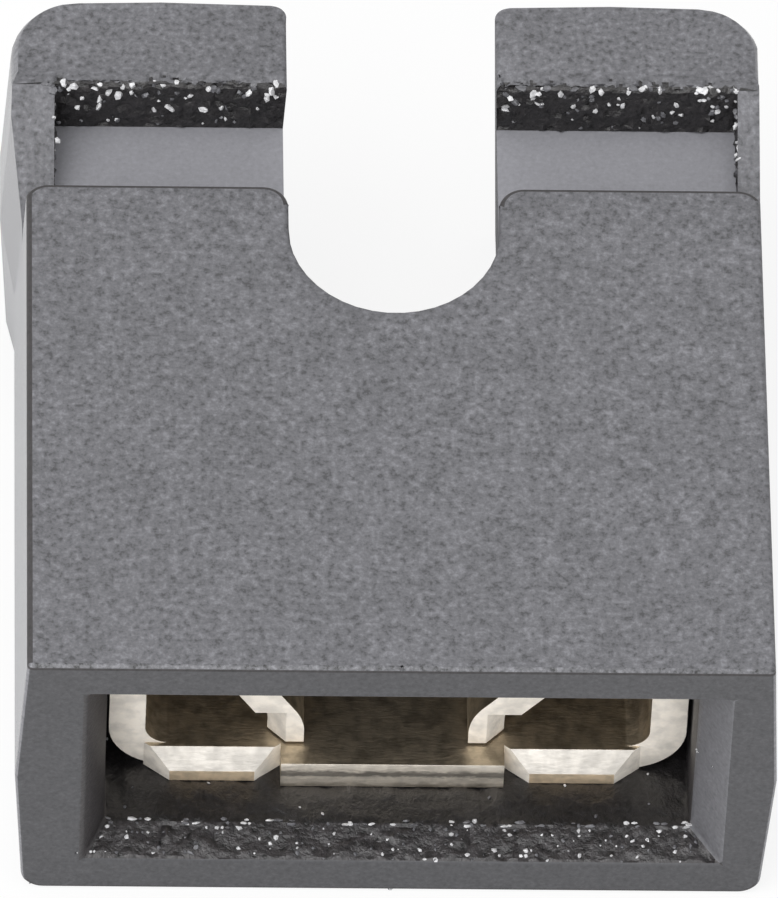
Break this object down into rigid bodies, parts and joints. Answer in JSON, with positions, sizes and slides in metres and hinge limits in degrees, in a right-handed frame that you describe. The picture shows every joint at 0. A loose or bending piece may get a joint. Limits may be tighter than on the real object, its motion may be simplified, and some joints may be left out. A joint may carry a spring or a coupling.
{
  "type": "jumper shunt",
  "caption": "Moulded jumper shunt with a notched, grooved grip and a folded contact clip that joins neighbouring header pins.",
  "frame": {"origin": "middle of the part's footprint on the surface that it lies on", "axes": "+X across the pins, +Y from the mouth to the ear tips, +Z from the back face up to the front face"},
  "size_m": [0.0051, 0.0056, 0.0024],
  "materials": {
    "housing": "spark-eroded matt, dark grey glass-filled polyester",
    "contact": "gold-flashed phosphor bronze strip with bare sheared edges"
  },
  "bodies": {
    "root": {"housing": "housing", "contact": "contact"}
  },
  "joints": []
}
